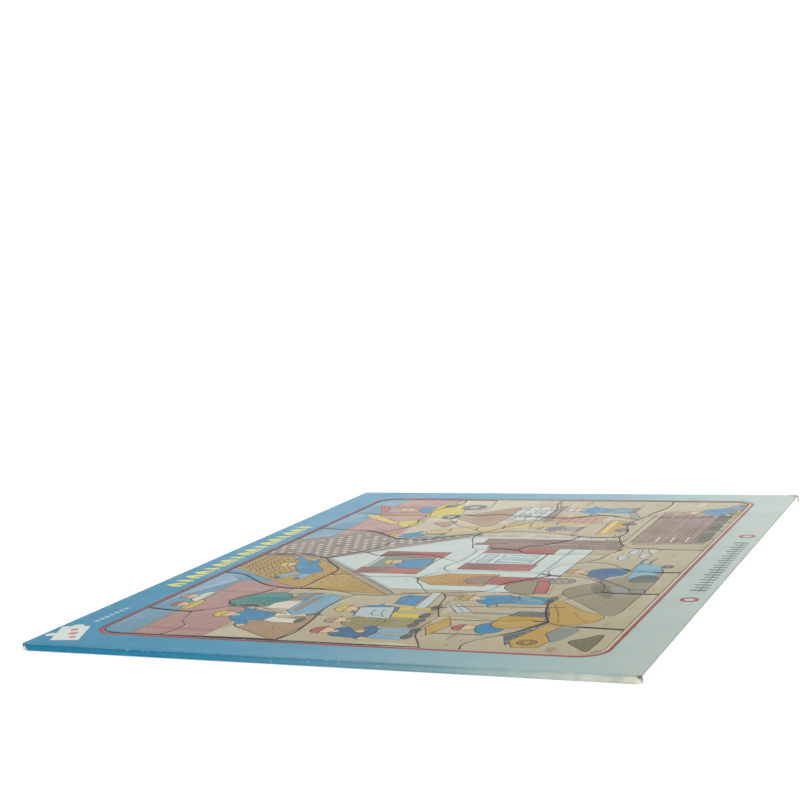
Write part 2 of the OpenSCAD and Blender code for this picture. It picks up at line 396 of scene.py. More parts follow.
def sky_and_walls():
    fill(SKY, box(-145, -105, 145, 105))
    fill(GROUND, box(-145, -105, 145, 53))
    pick = random.Random(31)
    for _ in range(150):
        x, y = pick.uniform(-138, 134), pick.uniform(-98, 48)
        tone = pick.choice((GROUND_LIGHT, GROUND_DARK, GROUND_LIGHT))
        if pick.random() < 0.35:
            patch(tone, oval(x, y, pick.uniform(3, 9), pick.uniform(0.8, 2), pick.uniform(-8, 8), 7), 2)
        elif pick.random() < 0.6:
            stroke(tone, [(x, y), (x + 2, y + 0.5), (x + pick.uniform(4, 8), y)], pick.uniform(0.35, 0.8))
        else:
            drawn(tone, oval(x, y, pick.uniform(0.6, 1.3), 0.6, 0, 7), 0.25, SOFT_LINE)
    for x0, x1 in ((-145, -52), (38, 145)):
        fill(WALL, box(x0, 53, x1, 84))
        quad = box(x0, 54, x1, 84)
        columns = int((x1 - x0) / 10)
        hatch(WALL_DARK, quad, 7, columns, 0.5, 0.3)
        joints(ink(170, 139, 131), quad, 7, columns, 0.25)
        rule(WALL_DARK, x0, 84, x1, 84, 1.1)
        rule(SOFT_LINE, x0, 84.8, x1, 84.8, 0.4)
        rule(SOFT_LINE, x0, 53, x1, 53, 0.4)
    for x in (-130, -71, 118):
        fill(ink(164, 138, 130), box(x - 1.4, 53, x + 1.4, 85.5))
        rule(SOFT_LINE, x - 1.4, 53, x - 1.4, 85.5, 0.3)
        rule(SOFT_LINE, x + 1.4, 53, x + 1.4, 85.5, 0.3)
    patch(GROUND_LIGHT, [(-140, 52), (-124, 50), (-118, 42), (-130, 30), (-140, 30)])
    patch(GROUND_LIGHT, [(50, 50), (90, 52), (138, 50), (139, 12), (100, 6), (64, 14)])
    bust(-94, 89, 3.2, YELLOW, RED)
    bust(-81, 92, 3.4, PLASTER, EARTH)
    rule(WALL_DARK, -104, 84.2, -68, 84.2, 1.0)


def mixing_place():
    heap(EARTH, TIMBER, -138, -103, 24, 25, 0.5, 3)
    figure(-107, 25, 45, BLUE, CREAM, YELLOW, (0.24, 0.68), (-0.32, 0.48))
    stroke(GREY_DARK, [(-95, 62), (-99, 50), (-103, 36)], 1.0)
    stroke(GREY_DARK, [(-73, 58), (-70, 44), (-68, 36)], 1.0)
    drawn(CREAM, box(-95, 38, -82, 50))
    drawn(GREY, box(-80, 37, -69, 46))
    blob(TEAL, [(-94, 66), (-87, 69.5), (-79, 68), (-72, 62), (-69.5, 54), (-74, 48), (-81, 46), (-87, 50),
                (-93, 53)])
    stroke(ink(74, 128, 120), [(-84, 69), (-80, 58), (-80, 47)], 0.8)
    drawn(GREY, oval(-91.5, 59, 4.2, 6.5, 12))
    drawn(GREY_DARK, oval(-91.8, 59, 2.4, 4.2, 12))
    drawn(BLUE_LIGHT, [(-104, 33), (-97, 39), (-71, 39), (-69, 33), (-73, 25), (-100, 25)])
    fill(GREY, [(-100, 33.5), (-95.5, 37.3), (-73.5, 37.3), (-72.5, 33.5)])
    rule(ink(112, 146, 162), -103, 31.5, -70, 31.5, 0.5)


def left_roof():
    slope = [(-24, 105), (-1, 105), (-2, 90), (-5, 67), (-61, 14), (-67, 9), (-63, 38), (-58, 58), (-44, 78)]
    drawn(ROOF, slope)
    quad = [(-50, 68), (-12, 68), (-3, 101), (-25, 101)]
    brick_line = ink(112, 98, 74)
    hatch(brick_line, quad, 8, 8, 0.8, 0.6, 0.5)
    joints(brick_line, quad, 8, 8, 0.45)
    hatch(ink(150, 126, 80), [(-62, 20), (-54, 20), (-14, 60), (-46, 64)], 9, 4, 0.6, 0.45, 0.4)
    # The roofer kneels on the slope and reaches up it
    for knee, foot in (((-38, 68), (-44, 71)), ((-37, 60), (-45, 61))):
        limb(BLUE_LIGHT, [(-31, 61), knee, foot], 4.8)
        drawn(GREY_DARK, oval(foot[0], foot[1], 2.2, 1.5, 30, 8))
    blob(BLUE, [(-35, 58), (-35, 64), (-27, 70), (-18, 75), (-13, 73), (-13, 68), (-22, 61), (-29, 56)])
    arm(BLUE, [(-15, 72), (-10, 75), (-5, 81)], 3.2)
    arm(BLUE, [(-21, 68), (-14, 66), (-9, 70)], 3.2)
    rule(BLUE_DARK, -31, 63, -27, 59, 0.6)
    head(YELLOW, (-19, 77, 3.1), (-19.5, 78, 3.9, 3.6, 20))
    bar(ink(170, 156, 132), [(-4, 68), (-34, 38.5), (-66, 8)], 3.6)
    stroke(SOFT_LINE, [(-4.5, 66.5), (-34, 37.5), (-65, 7)], 0.4)


def right_roof():
    slope = [(-1, 105), (29, 105), (42, 85), (57, 72), (41, 53), (40, 45), (55, 12), (47, 14), (-5, 67),
             (-2, 84)]
    drawn(LATTICE, slope)
    room = grown(slope, -1.6)
    # Gaps between the battens, in rows that run parallel to the gable
    for row in range(-9, 10):
        for step in range(24):
            x = -5 + 3.4 * step + 1.1 * row
            y = 67 - 3.33 * step + 5.0 * row
            gap = [(x - 1.2, y - 0.3), (x + 0.1, y - 1.6), (x + 1.2, y + 0.4), (x - 0.1, y + 1.7)]
            if all(inside(p, room) for p in gap) and (row * 7 + step * 5) % 13:
                fill(ink(204, 199, 183), gap)
        batten = [(-5 + 2.6 * i + 1.1 * row, 69.6 - 2.55 * i + 5 * row) for i in range(30)]
        batten = [p for p in batten if inside(p, room)]
        if len(batten) > 1:
            stroke(ink(112, 106, 98), [batten[0], batten[-1]])
    stroke(GREY_DARK, [(57, 71), (49, 61.5), (41, 52)], 0.9)
    bar(ink(158, 146, 132), [(-5, 68), (22, 40.5), (51, 10.5)], 3.8)
    stroke(SOFT_LINE, [(-4, 66), (22, 39), (49.5, 10)], 0.4)
    bar(TIMBER, [(-2.2, 102), (-2, 86), (-4.6, 67)], 2.2)


def shutter(x0, y0, x1, y1):
    drawn(RED, box(x0, y0, x1, y1))
    middle = (y0 + y1) / 2
    fill(RED_DARK, box(x0 + 0.8, middle + 1, x1 - 0.8, y1 - 0.8))
    count = 9
    for i in range(count):
        y = y0 + (i + 1) * (y1 - y0) / (count + 1)
        rule(ink(150, 98, 92), x0 + 1.4, y, x1 - 1.4, y, 0.35)
    rule(LINE, x0 + 1, middle, x1 - 1, middle, 0.4)


def house():
    drawn(PLASTER, [(-5, 64.5), (-57, 13), (-57, -52), (46, -52), (46, 14)])
    fill(SHADE, [(-57, 13), (-5, 64.5), (-5, 62), (-55, 13)])
    fill(SHADE, [(46, 14), (-5, 64.5), (-5, 62.3), (44, 13.5)])
    rule(SHADE, -57, -43, 46, -43, 1.0)
    rule(SOFT_LINE, -57, -42.4, 46, -42.4, 0.35)
    for x, y in ((-40, 24), (22, 18), (-44, 10), (30, -2), (-3, 52), (18, 34), (-24, 3)):
        stroke(SHADE, [(x, y), (x + 3, y + 0.8), (x + 5, y + 0.4)], 0.4)
    # Upper window with a worker inside
    drawn(ink(132, 146, 136), box(-20, 11.5, 1, 40.5))
    rule(PLASTER, -20, 39.4, 1, 39.4, 1.1)
    rule(PLASTER, -20, 12.6, 1, 12.6, 1.1)
    blob(BLUE, [(-19.4, 13), (-18.5, 24), (-13, 27.5), (-6, 26), (-2.5, 19), (-4, 13.2)])
    head(YELLOW, (-8.5, 30, 3.3, 3.6), (-8.5, 31.5, 4.3, 3.8, 8))
    shutter(-31, 11, -20.4, 41)
    shutter(1.4, 11, 12, 42)
    # Lower window
    drawn(PLASTER, box(-8, -34, 12.5, -4))
    for x0, x1 in ((-5.5, 1), (3.5, 10)):
        drawn(ink(168, 191, 194), box(x0, -12.5, x1, -7), 0.4)
        drawn(ink(168, 191, 194), box(x0, -31.5, x1, -15.5), 0.4)
        fill(ink(200, 216, 218), [(x0 + 1, -30), (x0 + 3, -30), (x0 + 5, -17), (x0 + 3, -17)])
    rule(SOFT_LINE, -9, -34.6, 13.5, -34.6, 0.8)
    shutter(-20, -36, -8, -3.5)
    shutter(12.6, -36, 25, -3.5)
    # Porch and door
    porch = [(-49, -26), (-49, -3), (-38.5, 8), (-28, -3), (-28, -26)]
    drawn(ink(186, 152, 98), porch)
    quad = box(-48, -25, -29, -2)
    hatch(ROOF_DARK, quad, 8, 4, 0.6, 0.4)
    joints(ROOF_DARK, quad, 8, 4, 0.3)
    drawn(RED, box(-45.5, -51, -31.5, -19))
    arch = [(-45.5, -25), (-45.5, -19), (-41, -14.5), (-36, -14.5), (-31.5, -19), (-31.5, -25)]
    drawn(ink(156, 134, 122), arch)
    for x in (-42, -38.5, -35):
        rule(RED_DARK, x, -50, x, -26, 0.4)
    dot(YELLOW, -33.5, -38, 0.8)


def plank(x0, y0, x1, y1, seed):
    pick = random.Random(seed)
    drawn(TIMBER, box(x0, y0, x1, y1))
    lines = max(2, int((x1 - x0) / 2.2))
    for i in range(lines):
        x = x0 + (i + 1) * (x1 - x0) / (lines + 1)
        start = y0 + pick.uniform(0.03, 0.35) * (y1 - y0)
        end = y0 + pick.uniform(0.6, 0.97) * (y1 - y0)
        stroke(TIMBER_DARK, [(x, start), (x + 0.3, (start + end) / 2), (x, end)], 0.3)


def pipe_and_planks():
    drawn(ink(214, 226, 226), box(44.6, -44, 47.4, 15))
    rule(SHADE, 45.4, -43, 45.4, 14, 0.5)
    plank(29.5, -9, 34, 7, 5)
    plank(33.5, -61, 43.2, 4, 6)
    plank(23.8, -63, 32.4, -1.5, 7)
    rule(TIMBER_DARK, 22, -63.5, 45, -61.5, 0.9)


def yard_left():
    figure(-124, -26, 45, BLUE_DARK, BLUE_LIGHT, RED, (0.2, 0.36), (-0.16, 0.38), 0.09)
    figure(-109, -22, 42, KHAKI, KHAKI, EARTH, (-0.32, 0.42), (0.22, 0.42), 0.08)
    figure(-92, -21, 45, BLUE, YELLOW, YELLOW, (0.22, 0.5), (-0.22, 0.5), 0.14)
    drawn(SHEET, [(-104, -8), (-102, 8), (-88, 11), (-86, -3)])
    stroke(BLUE, [(-101, 0), (-96, 3), (-90, 3.4)], 0.5)
    stroke(BLUE, [(-100.5, -3.6), (-95, -1), (-89.5, -0.5)], 0.5)
    stroke(TIMBER, [(-64, 4), (-63, -12), (-62, -24)], 1.4)
    drawn(SHEET, [(-87, -11), (-62, -9), (-61, -13), (-86, -16)])
    for x in (-84, -65):
        rule(TIMBER_DARK, x, -15, x - 0.5, -24, 1.2)
    drawn(BLUE, [(-83, -9.5), (-81, -0.5), (-70, 1), (-67, -1), (-68, -9)])
    rule(BLUE_DARK, -81.4, -2.6, -68, -2.6, 0.5)
    drawn(SHEET, [(-92, -31), (-81, -24), (-78, -27), (-89, -36)])
    rule(GREY, -90, -33, -80, -26, 0.6)
    ground_marks(((-133, 12), (-136, -8), (-96, -24), (-72, -30), (-130, -44), (-134, -20)))


def loader():
    patch(GREY, [(-126, -79), (-116, -74), (-106, -77), (-107, -84), (-117, -83)])
    for x in (-121, -101.5):
        rule(LINE, x, -31, x + 0.6, -52, 1.0)
    blob(BLUE, [(-119, -50), (-113, -46), (-105, -46.5), (-106, -55), (-115, -56)])
    limb(BLUE, [(-108, -48), (-104, -50), (-101, -49)], 1.8)
    head(RED, (-111.5, -42, 3.4, 3.8), (-111.5, -40.5, 4.4, 4))
    drawn(ORANGE, [(-124, -31), (-113, -26.5), (-98, -30.5), (-110, -35.5)])
    seat = [(-111, -56), (-108, -50.5), (-101, -49.5), (-93, -52), (-92.5, -64), (-98, -68), (-106, -66)]
    blob(ORANGE, seat, 3)
    drawn(GREY_DARK, [(-93, -52), (-86, -54), (-85, -67), (-92.5, -66)])
    for i in range(5):
        rule(GREY, -92, -54.5 - 2.4 * i, -86.2, -56 - 2.4 * i, 0.5)
    rule(LINE, -90.5, -37, -90, -53, 2.2)
    rule(GREY, -90.5, -37.4, -90, -53, 1.6)
    drawn(GREY_DARK, [(-132, -64), (-120, -59.5), (-100, -68.5), (-96, -71), (-104, -73), (-118, -67)])
    for i in range(7):
        dot(GREY, -127 + 4.4 * i, -63.5 - i, 1.4)
    drawn(ORANGE, [(-134, -67), (-126, -63.5), (-112, -67.5), (-100, -70.5), (-103, -77), (-115, -73.5),
                   (-124, -78), (-133, -76)])
    drawn(ORANGE_DARK, oval(-127, -70.5, 3.6, steps=12))
    drawn(ORANGE, oval(-127, -70.5, 1.8, steps=10))
    blob(ORANGE, [(-103, -71), (-88, -66.5), (-70, -60.5), (-69, -66), (-82, -78), (-88, -87.5), (-96, -87),
                  (-102, -80)], 3)
    stroke(ORANGE_DARK, [(-100, -73.5), (-88, -70), (-73, -64)], 0.8)
    stroke(ORANGE_DARK, [(-98, -84), (-92, -79), (-84, -75)], 0.6)


def door_side():
    blob(OLIVE, [(-60, -50), (-56, -40), (-48, -35), (-40, -38), (-37, -46), (-44, -51)])
    drawn(RED, [(-58, -55.5), (-57, -50), (-38, -46), (-37, -51.5)])
    rule(GROUND_DARK, -60, -57, -40, -53.5, 0.8)
    figure(-69, -62, 42, BLUE, ink(98, 152, 176), ORANGE, (-0.26, 0.5), (0.16, 0.42), 0.07)
    stroke(TIMBER_DARK, [(-82, -26), (-80, -45), (-78, -70)], 0.9)
    drawn(GREY, oval(-36, -55.5, 5.2, 5.6))
    drawn(ink(184, 168, 138), oval(-36, -55.5, 2.7, 3))
    dot(GREY_DARK, -36, -55.5, 0.9)


def sand_and_barrow():
    heap(OLIVE, OLIVE_DARK, -88, -10, -90, 28, 0.46, 11)
    patch(OLIVE_DARK, [(-62, -82), (-50, -72), (-38, -70), (-46, -80)])
    patch(ink(150, 152, 146), [(-56, -84), (-46, -78), (-40, -82), (-46, -87)])
    heap(OLIVE_DARK, GREY_DARK, -135, -113, -94, 9, 0.5, 12)
    stroke(TIMBER_DARK, [(-20, -56), (-34, -74), (-50, -90)], 1.0)
    drawn(GREY, [(-52, -88), (-47, -86), (-46, -92), (-53, -94)])
    blob(BLUE_DARK, [(-29, -66), (-22, -62.5), (-14, -63), (-11, -72), (-14, -78), (-24, -77)], 3)
    limb(BLUE_DARK, [(-21, -67), (-28, -71), (-33, -70)], 3.0)
    dot(SKIN, -34, -69.6, 1.7)
    head(ORANGE, (-19, -57.5, 3.3, 3.6), (-19, -56, 4.5, 3.8, -8))
    drawn(BLUE_LIGHT, [(-29, -80), (-8, -80), (-9, -88), (-14, -92), (-24, -90)])
    blob(GREY_DARK, [(-35, -85), (-30, -82), (-22, -86), (-24, -92), (-33, -93)], 3)
    drawn(BLUE_LIGHT, [(-17, -78.5), (-1, -79), (-5, -90), (-13, -91)])
    for y in (-79.5, -83.5):
        limb(TEAL, [(-3, y), (4, y + 0.5), (8, y - 0.6)], 0.9, 0.5)
    wheel(-6, -92, (3, 2.6), (1.2, 1.1))
    for x, y, turn in ((9, -69, 8), (21, -71.5, -6), (14, -77.5, 4), (24, -79, 10)):
        blob(ink(190, 196, 190), oval(x, y, 5.2, 2.5, turn, 7), 2)
        stroke(GREY, [(x - 3, y - 0.8), (x + 1, y - 1.3), (x + 3.4, y - 0.4)], 0.5)
    ground_marks(((-2, -95), (-48, -96), (-80, -95), (12, -90), (33, -97), (-105, -92)), 8)


def board_stack():
    drawn(GROUND_DARK, [(36, -66), (112, -63), (114, -97), (40, -97)])
    for i in range(8):
        y = -64 - 3.9 * i
        left = 40 + (i % 3)
        right = 108 - (i * 5 % 7)
        drawn(TIMBER if i % 2 else ink(150, 130, 117), box(left, y - 3.8, right, y), 0.4, TIMBER_DARK)
        if i % 3:
            middle = (left + right) / 2
            stroke(TIMBER_DARK, [(left + 14, y - 2), (middle, y - 1.7), (right - 9, y - 2.1)], 0.3)
    # Weeds and shade along the foot of the stack
    for i in range(18):
        x = 43 + 3.9 * i
        reach = 2.0 + (i * 7 % 5) * 0.45
        patch(ink(134, 134, 114), oval(x, -94.4 - 0.3 * reach, 3.0, reach, 0, 7), 2)
    hatch(ink(92, 96, 82), [(41, -92.6), (111, -91), (113, -97), (44, -98)], 16, 3, 0.5, 0.5, 0.6)
    hatch(ink(112, 112, 94), [(24, -56), (58, -52), (60, -60), (26, -64)], 8, 3, 0.5, 0.4, 0.5)
    for x, y in ((42, -75), (43, -81.5), (44, -88)):
        rule(CREAM, x, y, x + 10, y + 0.3, 0.7)
    drawn(ink(188, 176, 150), [(34, -63.6), (38, -60.5), (104, -60.2), (112, -63.2)])
    rule(SOFT_LINE, 40, -61.4, 106, -61, 0.4)
    # Kneeling worker
    blob(ink(128, 132, 152), [(113, -98), (116, -91), (122, -90), (131, -95), (131, -99), (121, -100)])
    drawn(GREY_DARK, oval(131, -97.5, 2.2, 1.5, 10, 8))
    blob(BLUE, [(108, -84), (114, -80.5), (120, -83), (123, -90), (119, -95), (112, -95), (108, -90)])
    arm(BLUE, [(112, -85), (107, -90), (102, -90)])
    arm(BLUE, [(118, -85), (113, -91), (106, -95)])
    head(EARTH, (110.5, -76.8, 3.2, 3.4), (110.5, -75.6, 4, 3.2))
    blob(ORANGE, [(110, -98), (118, -97), (119, -99), (110, -100)], 3, 0.35)


def yard_right():
    for x0, x1 in ((53, 86), (60, 97)):
        bar(ink(204, 184, 112), [(x0, 40), ((x0 + x1) / 2, 1), (x1, -38)], 4.6 if x0 < 60 else 2.4)
    for i in range(6):
        y = 30 - 12 * i
        rule(TIMBER_DARK, 57 + 5.1 * i, y, 64 + 5.1 * i, y + 1, 0.9)
    figure(68, -33, 24, ink(128, 126, 142), GREY, EARTH, (0.3, 0.4), (-0.3, 0.5))
    for row in range(6):
        for column in range(3):
            x = 82 + 5 * column + (1.2 if row % 2 else 0)
            y = -37 + 4 * row
            drawn(ink(188, 152, 132), box(x, y, x + 4.8, y + 3.8), 0.35, ink(150, 118, 104))
    drawn(ORANGE, [(57, -43), (91, -42), (88, -53), (60, -54)])
    fill(ink(216, 188, 120), [(59, -44.5), (89, -43.5), (88.4, -46), (59.6, -47)])
    for x in (67, 81):
        wheel(x, -53, (3.8, 3.4), (1.6, 1.4))
    figure(114, -48, 39, BLUE, BLUE, PLASTER, (-0.3, 0.46), (0.28, 0.56), 0.1)
    drawn(GREY, [(96, -50), (108, -46), (110, -49), (99, -53.5)])
    for row in range(4):
        for column in range(4):
            x = 87 + 8.4 * column + (1 if row % 2 else 0)
            y = -8 + 5.4 * row
            tint = PLASTER if (row + column) % 3 else ink(178, 186, 180)
            blob(tint, oval(x + 4, y + 2.6, 4.2, 2.9, 0, 8), 2, 0.4)
            rule(GREY, x + 1.6, y + 2, x + 6, y + 1.8, 0.35)
    drawn(TIMBER, [(84, -8.5), (124, -7), (124, -10), (84, -11.5)])
    stroke(GREY_DARK, [(86, -12.4), (110, -10), (134, -3)], 0.8)
    figure(47, 30, 29, BLUE, GREY, YELLOW, (0.34, 0.42), (-0.28, 0.42))
    ground_marks(((104, -30), (128, -20), (130, -54), (60, -12), (132, 26), (98, -22), (130, -80), (66, -24)))


def excavator():
    heap(EARTH, TIMBER, 67, 84, 36, 9, 0.55, 21)
    heap(EARTH, TIMBER, 70, 120, 15, 23, 0.45, 22)
    patch(ink(164, 142, 122), [(84, 18), (94, 28), (104, 26), (98, 18)])
    bar(ORANGE, [(96, 86), (96.5, 72), (97, 58)], 3.2)
    drawn(YELLOW, [(73, 67), (78, 64), (95, 84), (97, 90), (92, 89)])
    drawn(YELLOW, [(66, 58), (72, 63), (80, 66), (84, 58), (80, 52), (70, 52)])
    stroke(LINE, [(68, 56), (75, 57), (82, 55)], 0.5)
    rule(LINE, 79, 67, 90, 78, 0.6)
    drawn(RED, [(100, 84), (122, 94), (120, 88), (108, 83)])
    for x in (103.5, 118):
        rule(LINE, x, 84, x, 60, 0.9)
    blob(BLUE, [(104, 58), (106, 65), (115, 68), (118, 61), (112, 57)], 3)
    head(YELLOW, (111, 72.5, 3, 3.3), (111, 74, 4, 3.6))
    blob(YELLOW, [(90, 47), (94, 55), (101, 58.5), (127, 59), (128, 52), (122, 46), (108, 41), (97, 42)], 3)
    drawn(GREY, box(118.5, 50.5, 126.5, 57))
    for i in range(4):
        rule(GREY_DARK, 119, 51.8 + 1.4 * i, 126, 51.8 + 1.4 * i, 0.5)
    for x, y, r in ((94, 43, 5.2), (119, 39.5, 7)):
        drawn(GREY_DARK, oval(x, y, r, r * 0.92))
        drawn(ink(168, 176, 160), oval(x, y, r * 0.5, r * 0.46), 0.35)


for draw in (sky_and_walls, mixing_place, left_roof, right_roof, house, pipe_and_planks, yard_left, loader,
             door_side, sand_and_barrow, board_stack, yard_right, excavator):
    draw()
WINDOW = max(face_loops("frame_board", board_high.z / MM), key=lambda loop: -abs(area(loop)))
window_x = max(p[0] for p in WINDOW)
window_y = max(p[1] for p in WINDOW)
window_r = window_x - max(p[0] for p in WINDOW if abs(p[1] - window_y) < 1e-3)
# The cuts that run near these lines get a dark stroke of painted shade, so they show bold
SHADED_CUTS = (
    ((-34, 100), (-50, 76), (-59, 63), (-60, 41)),
    ((-101, 100), (-103, 79), (-91, 67), (-93, 58)),
    ((-20, 100), (0, 98), (2, 72)),
    ((13, 57), (27, 45), (45, 25)),
    ((58, 69), (40, 51), (41, 45)),
    ((-3, 67), (-28, 50), (-58, 52)),
    ((-139, 22), (-101, 23)),
    ((22, -8), (20, -18), (14, -35)),
    ((20, -18), (32, -24), (44, -36), (53, -39), (52, -58)),
    ((54, -57), (61, -59), (89, -56)),
    ((21, -65), (29, -75), (30, -98)),
    ((-41, -34), (-27, -47), (-25, -50)),
    ((-16, -91), (-14, -101)),
    ((-65, -68), (-53, -75), (-52, -101)),
    ((99, -19), (103, -37), (101, -44)),
    ((-116, -58), (-96, -69), (-71, -60)),
    ((-103, -84), (-103, -102)),
    ((-141, 94), (-141, -5)),
)
CUT_SHADE_NEAR = 3.0  # how far from such a line a cut may run
CUT_SHADE_SPREAD = 0.7  # how far the painted shade reaches to either side
LEVEL = 0.05  # a side of a cut that rises less than this is not widened


def paint_cut_shade():
    cut_shade = ink(40, 36, 36)
    lines = [list(line) + list(line[-2:0:-1]) for line in SHADED_CUTS]
    for node in PIECES:
        loop = piece_outline(node)
        sides = list(zip(loop, loop[1:] + loop[:1]))
        gap, _ = distance_to(lines, [((p[0] + q[0]) / 2, (p[1] + q[1]) / 2) for p, q in sides])
        for ((x0, y0), (x1, y1)), d in zip(sides, gap):
            # Painted shade: sides that are not level get a wider stroke, spread along X
            if d < CUT_SHADE_NEAR and abs(y0 - y1) > LEVEL:
                far = CUT_SHADE_SPREAD
                fill(cut_shade, [(x0 - far, y0), (x0 + far, y0), (x1 + far, y1), (x1 - far, y1)])
            if d < CUT_SHADE_NEAR:
                rule(cut_shade, x0, y0, x1, y1, 0.7)
    # Painted shade over the pieces by the near side of the window
    near_shade = ((-1, 86), (-1, 12), (1.6, 22.5), (2.4, 30), (2.2, 44), (1.2, 64))
    fill(ink(74, 54, 52), [(x - window_x, y) for x, y in near_shade])


paint_cut_shade()
picture = list(art)

# ---- the print on the frame

art.clear()
RED_LINE = ink(148, 96, 97)
PRINT_OFF = -0.5  # the print lies this far down from the middle of the window


def window_outline(out):
    """The window's outline, grown by out, where it is printed."""
    return round_box(2 * (window_x + out), 2 * (window_y + out), window_r + out, 10, 0, PRINT_OFF)


def band_of_roofs():
    """A row of small yellow houses and trees along the top border."""
    yellow = ink(206, 204, 112)
    low, eaves, top = 106.0, 110.6, 114.6
    for i in range(17):
        x = -66.5 + 7.8 * i
        if i % 3 == 1:
            fill(yellow, [(x, low + 1), (x + 5.6, low + 1), (x + 2.8, eaves + 0.6)])
            fill(yellow, [(x + 0.8, eaves - 1), (x + 4.8, eaves - 1), (x + 2.8, top)])
            fill(yellow, box(x + 2.3, low - 0.6, x + 3.3, low + 1.4))
        else:
            fill(yellow, [(x, low), (x + 6.2, low), (x + 6.2, eaves), (x + 3.1, top), (x, eaves)])
            fill(NO_INK, box(x + 2.3, low, x + 3.9, low + 3))


def frame_print():
    fill(RED_LINE, window_outline(2.2))
    fill(RED_LINE, [(x - 0.8, y) for x, y in window_outline(2.2)])
    # The picture runs on past the cut, up to the red line
    edge = window_outline(0.7)
    fill(GROUND, edge)
    fill(SKY, [p for p in edge if p[1] > 80])
    for side in (-1, 1):
        fill(WALL, box(side * (window_x + 0.7), 53, side * (window_x - 1), 84))
    # Painted shade of the wide cut along the near side
    near_shade = ((-0.9, 94), (-1.9, 50), (-2.2, 20), (-1.5, 8), (-0.6, -20), (1, -20), (1, 94))
    fill(ink(92, 66, 64), [(x - window_x, y) for x, y in near_shade])
    band_of_roofs()
    # A plain tilted label
    label_red = ink(186, 140, 136)
    label_white = ink(206, 212, 206)
    for knob in (oval(-146.6, 115.6, 2.3), oval(-133.0, 112.4, 2.0, 2.6)):
        fill(label_white, knob)
    fill(label_white, [(-154, 111), (-152, 99.5), (-132.5, 107), (-135, 118.5)])
    for x, y, r in ((-148.5, 104.6, 1.5), (-143.6, 107.6, 2.0), (-138.4, 110.4, 1.7)):
        fill(label_red, oval(x, y, r))
    for i in range(7):
        fill(ink(176, 200, 208), box(-126 + 3.4 * i, 108 - 0.1 * i, -124.2 + 3.4 * i, 110 - 0.1 * i))
    # A little picket fence between two rings
    border_grey = ink(116, 126, 124)
    for i in range(21):
        x = -46 + 4.4 * i
        top = -109.4 - (i % 2)
        fill(border_grey, [(x, -116.5), (x + 2, -116.5), (x + 2, top - 1.2), (x + 1, top), (x, top - 1.2)])
    rule(border_grey, -47, -113.8, 45, -113.8, 0.5)
    for x in (-60, 57):
        fill(ink(160, 98, 96), oval(x, -113, 3.8, steps=20))
        fill(NO_INK, oval(x, -113, 2.0, steps=16))


frame_print()
border = list(art)

# ---- meshes


def rounding(d, r):
    """How far a cut edge of radius r has dropped at distance d from the cut."""
    inner = np.clip(r - d, 0, r)
    return r - np.sqrt(r * r - inner * inner)


def coloured_face(outlines, holes, shapes, ground, rings):
    """Splits a flat face into the areas of its printed shapes. Gives points in mm, triangles and inks."""
    points, faces, tints = [], [], []

    def take(outline):
        first = len(points)
        points.extend(Vector(p) for p in (outline if area(outline) > 0 else outline[::-1]))
        faces.append(list(range(first, first + len(outline))))

    for outline in outlines + holes:
        take(outline)
    solid = set(range(len(outlines)))
    hollow = set(range(len(outlines), len(faces)))
    for d in rings:
        for outline in outlines:
            take(grown(outline, -d))
        for hole in holes:
            take(grown(hole, d))
    first_shape = len(faces)
    low = np.min([np.min(o, 0) for o in outlines], 0) - 1
    high = np.max([np.max(o, 0) for o in outlines], 0) + 1
    for outline, tint in shapes:
        p = np.array(outline)
        if (p.max(0) > low).all() and (p.min(0) < high).all():
            take(outline)
            tints.append(tint)
    verts, _, tris, _, _, sources = delaunay_2d_cdt(points, [], faces, 0, 1e-5, True)
    kept, colours = [], []
    for tri, source in zip(tris, sources):
        source = set(source)
        if source & solid and not source & hollow:
            top = max(source)
            kept.append(tri)
            colours.append(tints[top - first_shape] if top >= first_shape else ground)
    return [tuple(v) for v in verts], kept, colours


def linked(name, data):
    """A new object in the scene."""
    obj = bpy.data.objects.new(name, data)
    bpy.context.scene.collection.objects.link(obj)
    return obj


def mesh_object(name, bm, materials):
    for vertex in list(bm.verts):
        if not vertex.link_faces:
            bm.verts.remove(vertex)
    mesh = bpy.data.meshes.new(name)
    bm.to_mesh(mesh)
    bm.free()
    for material in materials:
        mesh.materials.append(material)
    return linked(name, mesh)


def face_mesh(points, tris, colours, heights, rims):
    """A new mesh of the triangles at those heights (mm), and its layers for ink and rim."""
    bm = bmesh.new()
    ink_layer = bm.loops.layers.float_color.new("ink")
    rim_layer = bm.verts.layers.float.new("rim")
    verts = []
    for (x, y), z, rim in zip(points, heights, rims):
        v = bm.verts.new((x * MM, y * MM, z * MM))
        v[rim_layer] = rim
        verts.append(v)
    for tri, colour in zip(tris, colours):
        face = bm.faces.new([verts[i] for i in tri])
        face.smooth = True
        for loop in face.loops:
            loop[ink_layer] = colour
    return bm, (ink_layer, rim_layer)


